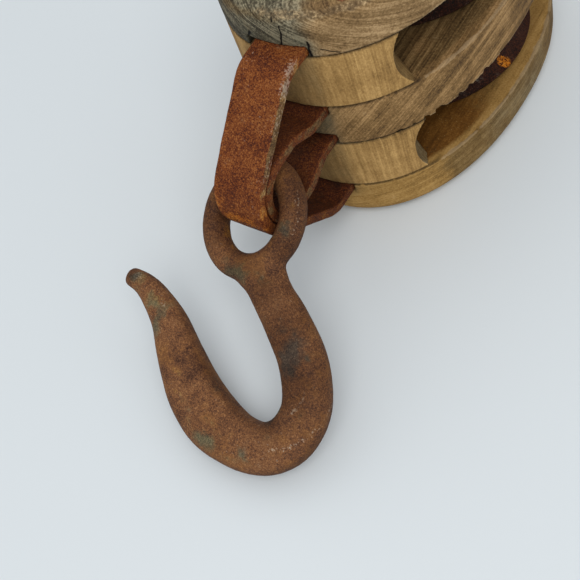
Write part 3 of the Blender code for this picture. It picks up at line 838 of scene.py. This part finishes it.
def wood(name, turn, tones, contrast=1.0, splits=()):
    """Solid wood. Once turned, its grain runs along Y and its growth layers are flat in X and Y.

    tones: pale, mid, dark line, weathered grey.
    """
    pale, mid, dark, grey = tones
    look = Look(name)
    turn = tuple(math.radians(angle) for angle in turn)
    bent = look.mapped(turn=turn, source=look.warped((20, 7, 20), (1.8 * MM,) * 3))
    layers = look.noise(1, 3, 0.55, look.mapped(scale=(16, 5, 620), source=bent))
    fibres = look.noise(1, 4, 0.6, look.mapped(scale=(80, 22, 2000), source=bent))
    pores = look.noise(1, 2, 0.5, look.mapped(scale=(1300, 120, 1300), source=bent))
    broad = look.noise(26, 4, 0.6)
    blotch = look.noise(110, 4, 0.65)
    speck = look.noise(1100, 2, 0.6)
    line = look.swings((layers, 0.9), (fibres, 0.95), (pores, 0.45), (speck, 0.75))
    tone = look.swings((broad, 0.5), (blotch, 0.5), base=0.5)
    tone = look.add(look.times(line, contrast), tone)
    colour = look.shades(tone, (0.16, dark), (0.48, mid), (0.82, pale))
    aged = look.shades(look.swings((tone, 1.7), base=0.5), (0.14, (48, 42, 32)), (0.48, grey),
                       (0.84, (150, 140, 114)))
    colour = look.mix(look.patch("weather", broad, 0.9), colour, aged)
    brown = look.shades(tone, (0.2, (46, 25, 7)), (0.5, (98, 60, 18)), (0.85, (150, 102, 44)))
    colour = look.lay(colour, look.patch("brown", blotch, 1.0, 0.1, 0.95), 0.95, brown)
    # Painted shade: the wood darkens where the kept shade value is.
    dull = look.shades(tone, (0.2, (40, 28, 14)), (0.5, (88, 68, 40)), (0.85, (140, 116, 76)))
    colour = look.lay(colour, look.patch("shade", blotch, 0.8), 0.7, dull)
    rough = look.patch("rough", blotch, 0.9)
    # Pitted, torn wood on the rough crown, its palest flecks painted glints.
    torn = look.swings((look.noise(800, 3, 0.7), 1.7), (look.noise(200, 3, 0.6), 1.2), base=0.5)
    ragged = look.shades(torn, (0.08, (44, 34, 26)), (0.5, (104, 84, 60)), (1.0, (214, 184, 138)))
    colour = look.lay(colour, rough, 0.7, ragged)
    grime = look.math("MULTIPLY", look.kept("grime"), look.swings((blotch, 2.0), base=1.0), True)
    colour = look.lay(colour, grime, 0.7, (66, 66, 54))
    colour = look.lay(colour, look.patch("worn", blotch, 2.2), 0.35, (178, 154, 120))
    flecks = look.times(look.mask(look.cells(420), 0.13, 0.06),
                        look.mask(look.noise(90, 3, 0.6), 0.5, 0.62))
    colour = look.lay(colour, flecks, 0.7, (78, 54, 30))
    glints = look.times(look.mask(look.cells(560), 0.16, 0.05), look.mask(broad, 0.44, 0.6))
    colour = look.lay(colour, glints, 0.4, (206, 172, 116))
    seam = look.times(look.kept("joint"), look.mask(look.noise(300, 4, 0.7), 0.3, 0.5))
    colour = look.lay(colour, seam, 0.85, (34, 26, 18))
    relief = look.add(look.times(line, 0.6), look.swing(blotch, 0.8))
    relief = look.add(relief, look.times(rough, look.times(torn, 0.9)))
    if splits:
        open_ = 0.0
        for start, end, width in splits:
            open_ = look.math("MAXIMUM", open_, look.split(start, end, width))
        open_ = look.times(open_, look.kept("end"))
        colour = look.mix(open_, colour, (14, 10, 8))
        relief = look.math("SUBTRACT", relief, look.times(open_, 2.0))
    normal = look.bump(relief, 0.35 * MM, 0.6)
    return look.finish(colour, look.add(look.times(speck, 0.25), 0.65), normal, 0, 0.12)


def rust(name, tones, bloom, dark, pale, grain=1.0, hue=0.25):
    """Rusted iron. tones: deep, dull, main and bright rust, from pits to high spots."""
    deep, dull, main, bright = tones
    look = Look(name)
    fine = look.noise(2000, 2, 0.6)
    middle = look.noise(950, 3, 0.6)
    coarse = look.noise(170, 4, 0.6)
    broad = look.noise(42, 4, 0.6)
    tone = look.swings((fine, 1.2 * grain), (middle, 0.8 * grain), (coarse, 0.55), (broad, 0.5),
                       base=0.5)
    colour = look.shades(tone, (0.12, deep), (0.36, dull), (0.56, main), (0.86, bright))
    ochre = look.mask(look.swings((look.noise(58, 4, 0.6), 1.0), (coarse, 0.7)), 0.0, 0.2)
    warm = look.shades(tone, (0.2, main), (0.6, bloom), (0.95, bright))
    colour = look.lay(colour, ochre, hue, warm)
    violet = look.mask(look.swings((broad, 1.0), (coarse, 0.8)), 0.04, 0.2)
    colour = look.lay(colour, violet, 0.25, dull)
    stains = (
        ("orange", 1.4, 0.35, 0.8, (0.26, deep), (0.42, main), (0.56, bloom),
         (0.9, (226, 160, 60))),
        ("olive", 1.4, 0.35, 0.65, (0.2, (52, 46, 30)), (0.55, (104, 88, 56)),
         (0.85, (156, 132, 88))),
        ("scale", 1.7, 0.2, 0.75, (0.2, (26, 28, 28)), (0.6, dark), (0.9, (112, 108, 98))),
        ("green", 1.7, 0.2, 0.65, (0.2, (42, 50, 40)), (0.6, (76, 82, 64)), (0.9, (122, 118, 92))),
    )
    for stain, breakup, low, amount, *stops in stains:
        share = look.patch(stain, coarse, breakup, low, 1 - low)
        colour = look.lay(colour, share, amount, look.shades(tone, *stops))
    colour = look.lay(colour, look.patch("rubbed", middle, 1.5), 0.55, pale)
    pits = look.mask(look.cells(380), 0.2, 0.06)
    pits = look.times(pits, look.mask(look.noise(120, 3, 0.6), 0.46, 0.6))
    colour = look.lay(colour, pits, 0.55, deep)
    dust = look.times(look.mask(look.noise(900, 4, 0.75), 0.62, 0.7), look.mask(broad, 0.4, 0.6))
    colour = look.lay(colour, dust, 0.45, pale)
    # Painted shade: the kept shade value darkens the colour, unevenly with the coarse noise.
    shade = look.swings((coarse, 1.5), base=0.85)
    shade = look.math("MULTIPLY", look.kept("shade"), shade, True)
    colour = look.mix(shade, colour, (129.13, 108, 89), "MULTIPLY")
    normal = look.bump(coarse, 0.6 * MM, 0.6)
    normal = look.bump(look.math("SUBTRACT", fine, look.times(pits, 0.8)), 0.22 * MM, 0.7, normal)
    return look.finish(colour, look.add(look.times(middle, 0.35), 0.55), normal, 0.0, 0.16)


# Ends of each crack over the strap, X and Z in millimetres, and its width
SPLITS = (
    ((4, 127), (4, 121.5), 0.5), ((7.2, 120), (7, 116), 0.45), ((7, 116), (5, 109), 0.7),
    ((16.6, 112), (16.4, 105), 0.9), ((-9.7, 112.5), (-11.5, 109), 1.0),
    ((19, 124.5), (21, 127), 0.5), ((21, 108), (27, 105), 0.35),
)
TOP_WOOD = wood("top_cheek_look", (0, -30, 0),
                ((184, 152, 110), (132, 104, 68), (72, 52, 32), (90, 83, 66)), 0.8, SPLITS)
MIDDLE_WOOD = wood("partition_look", (0, 50, 0),
                   ((180, 143, 96), (128, 98, 60), (66, 47, 28), (76, 68, 50)), 0.75)
BOTTOM_WOOD = wood("bottom_cheek_look", (0, 8, 0),
                   ((192, 154, 94), (154, 118, 64), (90, 64, 32), (104, 88, 64)), 0.6)
SPACER_WOOD = wood("spacer_look", (90, 0, 14),
                   ((204, 164, 104), (160, 124, 73), (106, 78, 42), (130, 110, 76)), 0.62)
STRAP_LOOK = rust("strap_look", ((48, 18, 8), (86, 39, 17), (117, 60, 22), (156, 100, 52)),
                  (168, 90, 26), (50, 36, 32), (178, 160, 142), 1.2, 0.12)
HOOK_LOOK = rust("hook_look", ((48, 26, 14), (86, 55, 37), (122, 80, 49), (164, 118, 76)),
                 (142, 94, 40), (66, 66, 60), (190, 174, 152), 0.85, 0.35)
SHEAVE_LOOK = rust("sheave_look", ((12, 7, 4), (30, 15, 9), (56, 25, 13), (84, 48, 28)),
                   (214, 120, 12), (20, 15, 12), (84, 62, 44), 1.0, 0.0)


def dress(item, node, body, look):
    item.data.materials.clear()
    item.data.materials.append(look)
    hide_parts(node)
    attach(item, body)


def spots(points, *places):
    """The strongest of several soft spots. Each is x, y, z, reach in millimetres and strength."""
    total = np.zeros(len(points))
    for x, y, z, reach, strength in places:
        spot = near(points, np.array((x, y, z)) * MM, np.asarray(reach) * MM)
        total = np.maximum(total, strength * spot)
    return total


LEVELS = np.array((BOTTOM_TOP, LOWER_TOP, MIDDLE_TOP, UPPER_TOP))
WOOD_LOOKS = {"top_cheek": TOP_WOOD, "centre_partition": MIDDLE_WOOD, "bottom_cheek": BOTTOM_WOOD}
for node, item in woods.items():
    is_spacer = "spacer" in node
    points = points_of(item)
    x, y, z = (points / MM).T
    depth = inside_shell(points) / MM
    wall = ramp(depth, 2.5, 0.8)
    to_joint = np.abs(points[:, 2:3] - LEVELS).min(1) / MM
    backed = ramp(np.abs(x), 47.5, 46) * (np.abs(y) > 40)
    left = ramp(x, 30, -6)
    head = ramp(y, -60, -94)
    at_head = ramp(y, -84, -92)
    from_slot = np.maximum(np.abs(points[:, 0] - SLOT_X) - SLOT_WIDTH / 2, 0) / MM
    in_swallow = ramp(depth, 2.5, 6) * ramp(np.abs(normals_of(item)[:, 2]), 0.6, 0.9)
    in_swallow *= ramp(z, 12, 18) * ramp(z, 118, 112)
    damp = spots(points, (36, -54, 23, (30, 38, 9), 1.1), (37, -52, 75, (12, 30, 9), 0.35),
                 (56, -46, 75, (6, 14, 9), 0.6))
    # Painted shade on the faces inside the swallows, less where the damp stain is.
    shade = 0.75 * in_swallow * (1 - damp)
    rough = 0
    if is_spacer:
        # The throats' lips are greyed, most on the head's lower spacer, and the throats darkened as
        # painted shade.
        lip = ramp(depth, 0.2, 0.5)
        weather = 0.1 + (0.75 if node == "head_spacer_lower" else 0.3) * lip
        strap_near = 1
        dull = 0.8 * lip + 0.2 * ramp(depth, 5, 9)
    elif node == "top_cheek":
        weather = 0.25 + 0.6 * left * head
        strap_near = ramp(z, 121, 108)
        # Painted shade on the left of the crown and on the left of the flank at the head.
        dull = 0.3 * ramp(z, 118, 124) * left + 0.35 * wall * left * head
        rough = ramp(z, 120.5, 123.5) * ramp(depth, 7, 2.5)
        rough *= 0.3 + 0.35 * head * ramp(x, -12, 12)
    elif node == "centre_partition":
        weather = 0.08 + 0.5 * left * head
        strap_near = 1
        # Painted shade on the left of the flank at the head.
        dull = 0.8 * wall * left * head
    else:
        # Greyer towards the underside and along the flank away from the head, where the flank is also
        # darkened as painted shade.
        weather = 0.1 + 0.3 * np.maximum(ramp(z, 12, 4), 0.9 * ramp(y, -72, -36) * wall)
        strap_near = ramp(z, 14, 20)
        dull = 0.75 * wall * ramp(y, -82, -60)
        shade = 0
    grime = (0.45 if is_spacer else 0.8) * at_head * np.exp(-from_slot / 2.6)
    mark(item, "weather", weather)
    mark(item, "grime", grime * strap_near)
    mark(item, "joint", 0.8 * wall * backed * ramp(to_joint, 0.95, 0.45))
    mark(item, "worn", 0 if is_spacer else 0.8 * wall * (1 - backed) * ramp(to_joint, 1.6, 0.6))
    mark(item, "brown", 0 if is_spacer else in_swallow * np.maximum(damp, 0.3))
    # The kept shade value is painted shade.
    mark(item, "shade", np.maximum(shade, dull))
    mark(item, "end", at_head * wall)
    mark(item, "rough", rough)
for node, item in woods.items():
    dress(item, node, "block", WOOD_LOOKS.get(node, SPACER_WOOD))


def mark_iron_clean(item):
    for name in ("orange", "olive", "scale", "green", "rubbed", "shade"):
        mark(item, name, 0)


for node, item in straps.items():
    points = points_of(item)
    across = (points[:, 0] - STRAP_X) / (STRAP_WIDTH / 2)
    edge = ramp(np.abs(across), 0.95, 0.995)
    arris = ramp(across, 0.84, 0.92) * ramp(across, 1, 0.95)
    if node == "outer_strap":
        mark(item, "orange", np.maximum(0.35 * edge, spots(
            points, (4, -152, 59, (12, 8, 8), 0.9), (-3, -151, 68, (8, 8, 9), 0.45))))
        along_edge = np.maximum(0.8 * arris, edge) * spots(
            points, (15, -114, 104, (9, 6, 6), 0.65), (15, -124, 96, (9, 9, 9), 0.42),
            (14, -138, 82, (7, 14, 14), 0.34))
        mark(item, "rubbed", np.maximum(along_edge, spots(
            points, (15, -107, 108, (3, 6, 3), 0.6), (-6, -108, 104, (5, 10, 10), 0.3),
            (2, -104, 107, (8, 4, 4), 0.3))))
        mark(item, "olive", edge * spots(points, (15, -128, 92, (9, 30, 30), 0.75)))
        mark(item, "scale", spots(points, (3, -92, 23, (15, 14, 12), 0.5),
                                  (3, -110, 26, (15, 14, 12), 0.3), (3, -96, 110, (12, 3, 3), 0.4)))
        mark(item, "shade", ramp(points[:, 2], 62 * MM, 48 * MM) * (0.95 - 0.3 * edge))
    else:
        mark(item, "orange", np.maximum(0.2 * edge, spots(points, (15, -104, 56, (3, 16, 5), 0.4))))
        mark(item, "rubbed", spots(points, (15, -101, 73, (2, 5, 3), 0.3)))
        mark(item, "olive", 0.5 * edge)
        mark(item, "scale", spots(points, (3, -92, 63, (15, 14, 20), 0.3)))
        mark(item, "shade", np.maximum(0.76, ramp(points[:, 1], -112 * MM, -98 * MM)) - 0.4 * edge)
    mark(item, "green", 0)
    dress(item, node, "block", STRAP_LOOK)
for node, item in sheaves.items():
    points = points_of(item)
    mark_iron_clean(item)
    x, y, z = (points / MM).T
    mark(item, "scale", 0.45 * ramp(np.hypot(x, y), 40, 46) * ramp(y, -10, -30))
    if node == "sheave_lower":
        mark(item, "orange", spots(points, (50.8, -9.7, 27.6, (4.2, 2.3, 2.3), 1.5)))
    dress(item, node, node, SHEAVE_LOOK)


def streak(path, reach, strength):
    """A row of spots along a line."""
    rows = blend_stations(path, 6)
    return tuple((*row, reach, strength) for row in rows)


# Stains, wear and painted shade on the hook as it lies flat
marks = {
    "orange": (
        (-10.3, -28, 0.6, (2.2, 7, 3.2), 1.3), (-4.5, -33.5, 1.2, (4, 2, 2.5), 0.8),
        (26, -112, 2, (20, 5, 8), 0.45), (-8, -95, 7, (14, 12, 8), 0.28),
        (7, -39, 7, (8, 6, 5), 0.3), (-31, -66, 5, (5, 6, 6), 0.5), (19, -10, 7, (4, 8, 6), 0.3),
        (14, -24, 8, (4, 8, 6), 0.35),
    ),
    "olive": (
        (19, -19, 7, (7, 9, 8), 0.5), (7, -41, 7, (9, 6, 8), 0.35),
        (-44, -62, 4, (10, 7, 8), 0.55), (-33, -66, 5, (9, 8, 8), 0.5),
        (20, -108, 8, (14, 9, 7), 0.38), (-20, -80, 6, (9, 12, 8), 0.25),
        (30, -54, 8, (8, 8, 8), 0.2),
    ),
    "scale": (
        (42, -66, 8, (7, 12, 7), 0.8), (34, -56, 8, (7, 8, 7), 0.42), (20, -19, 6, (4, 6, 6), 0.5),
        (-48, -61, 5, (4, 4, 3), 0.6), (9, -90, 3, (8, 3.5, 4), 0.5),
        (41, -94, 6, (5, 3.5, 4), 0.55), (17, -4, 6, (3, 4, 4), 0.3),
        (36, -108, 8, (7, 4, 5), 0.4),
    ),
    "green": (
        (3, -43, 5, (9, 5, 6), 0.7), (-27, -74, 5, (4, 9, 6), 0.85), (-31, -69, 4, (6, 5, 6), 0.6),
        (17, -112, 7, (9, 5, 6), 0.7), (4, -106, 6, (7, 7, 6), 0.4), (34, -111, 9, (6, 4, 5), 0.4),
        (-2, -92, 8, (4, 3, 4), 0.35), (-35, -63, 5, (6, 4, 5), 0.3),
    ),
    "shade": (
        (-14, -22, 3, (9, 18, 12), 0.85), (17, -6, 4, (9, 16, 12), 0.7),
        (19, -24, 5, (8, 9, 12), 0.7),
        *streak(((-4, -84, 2), (9, -90, 2), (20, -93, 1), (31, -94, 1), (42, -92, 1)), (3, 3, 4), 0.6),
        (34, -58, 5, (12, 14, 12), 0.8), (48, -76, 5, (14, 16, 12), 0.85),
        (20, -46, 6, (10, 9, 10), 0.7), (42, -94, 4, (9, 6, 9), 0.9),
        (6, -38, 3, (14, 7, 9), 0.55), (-50, -61, 5, (3, 4, 4), 0.6),
    ),
    "rubbed": (
        *streak(((47, -104, 9), (55, -99, 8), (60, -92, 6), (62, -85, 2), (62, -79, -1)), 1.5, 0.42),
        *streak(((16, -94, 3), (25, -97, 2), (33, -98, 3), (42, -96, 7)), 1.3, 0.36),
        *streak(((18, -3, 4), (21, -7, 4), (23, -15, 4), (22, -22, 4)), 1.5, 0.42),
        *streak(((51, -86, 9), (53, -82, 9), (54, -76, 9)), 1, 0.5),
        *streak(((-44, -58, 5), (-34, -61, 6), (-27, -67, 6)), 1.5, 0.42),
        (20, -6, 5, (2, 5, 4), 0.3), (-46, -59, 5, (3, 3, 3), 0.5), (-15, -25, 6, (2, 9, 4), 0.25),
    ),
}
# Faces turned down are darkened as painted shade; faces turned to -X get more olive and green as a
# painted edge sheen.
hook_normals = normals_of(hook)
lower = ramp(hook_normals[:, 2], 0.45, -0.3)
leftward = ramp(-hook_normals[:, 0], 0.35, 0.9)
for name, places in marks.items():
    base = {"shade": 0.75 * lower, "olive": 0.55 * leftward, "green": 0.3 * leftward}.get(name, 0)
    mark(hook, name, np.maximum(base, spots(hook_flat, *places)))
dress(hook, "hook", "hook", HOOK_LOOK)


def plain_metal(name, tones, metallic, rough):
    """Worn bare metal for the small fittings: stains and scratches."""
    deep, main, pale = tones
    look = Look(name)
    fine = look.noise(1600, 3, 0.6)
    middle = look.noise(380, 5, 0.65)
    brushed = look.mapped(turn=(0, 0, 0.5), scale=(1800, 160, 900))
    scratches = look.noise(1, 3, 0.6, brushed)
    tone = look.swings((fine, 0.6), (middle, 1.6), (scratches, 0.5), base=0.5)
    colour = look.shades(tone, (0.2, deep), (0.5, main), (0.82, pale))
    normal = look.bump(look.add(middle, look.times(scratches, 0.4)), 0.2 * MM, 0.5)
    return look.finish(colour, look.add(look.swing(middle, 0.5), rough), normal, metallic, 0.4)


PLATE_LOOK = rust("plate_look", ((38, 22, 16), (72, 46, 34), (110, 72, 50), (150, 108, 78)),
                  (150, 88, 40), (60, 58, 54), (160, 150, 138))
STEEL_LOOK = plain_metal("pin_look", ((58, 44, 36), (112, 102, 94), (166, 160, 152)), 0.75, 0.45)
COPPER_LOOK = plain_metal("rivet_look", ((58, 48, 34), (132, 84, 56), (188, 134, 96)), 0.8, 0.45)
BRONZE_LOOK = plain_metal("bush_look", ((70, 56, 28), (146, 116, 62), (196, 168, 104)), 0.85, 0.4)

for node, item in fittings.items():
    mark_iron_clean(item)
    is_copper = node.startswith(("rivet", "burr"))
    dress(item, node, "block",
          COPPER_LOOK if is_copper else PLATE_LOOK)
for node, look in (("sheave_pin", STEEL_LOOK), ("bush_lower", BRONZE_LOOK),
                   ("bush_upper", BRONZE_LOOK)):
    for material_slot in bpy.data.objects[node].material_slots:
        material_slot.material = look

# ---- stage ----

FLOOR_REACH, FLOOR_THICK = 3, 0.02
FLOOR_COLOUR = (219, 224, 226)
SKY_COLOUR, SKY_STRENGTH = (0.93, 0.965, 1, 1), 0.66
# Place, diameter in metres and power in watts
LAMPS = {"key": ((0.9, -0.95, 1.7), 1.7, 21), "fill": ((-0.9, 0.9, 1.7), 2, 2.5)}
LAMP_AIM = Vector((0, -0.1, 0))
CAMERA_PLACE, CAMERA_LENS, CAMERA_SENSOR = (0.2223, -0.3049, 0.3635), 59.96, 36
VIEW_AZ, VIEW_EL, VIEW_ROLL = math.radians(54.1), math.radians(53.5), math.radians(-26.6)

floor = block("floor", (-FLOOR_REACH, -FLOOR_REACH, -FLOOR_THICK), (FLOOR_REACH, FLOOR_REACH, 0))
paper = Look("floor_look")
floor.data.materials.append(paper.finish(FLOOR_COLOUR, 0.9, None, 0, 0.1))

scene = bpy.context.scene
scene.world = bpy.data.worlds.new("studio")
scene.world.use_nodes = True
sky = scene.world.node_tree.nodes["Background"]
sky.inputs["Color"].default_value = SKY_COLOUR
sky.inputs["Strength"].default_value = SKY_STRENGTH

for name, (at, size, power) in LAMPS.items():
    light = bpy.data.lights.new(name, "AREA")
    light.shape = "DISK"
    light.size = size
    light.energy = power
    item = add_object(name, light)
    item.location = at
    item.rotation_euler = (LAMP_AIM - Vector(at)).to_track_quat("-Z", "Y").to_euler()

camera_data = bpy.data.cameras.new("camera")
camera_data.lens = CAMERA_LENS
camera_data.sensor_width = CAMERA_SENSOR
camera = add_object("camera", camera_data)
camera.matrix_world = (Matrix.Translation(CAMERA_PLACE) @ Matrix.Rotation(VIEW_AZ, 4, "Z")
                       @ Matrix.Rotation(math.pi / 2 - VIEW_EL, 4, "X")
                       @ Matrix.Rotation(VIEW_ROLL, 4, "Z"))
scene.camera = camera
scene.view_settings.view_transform = "Standard"
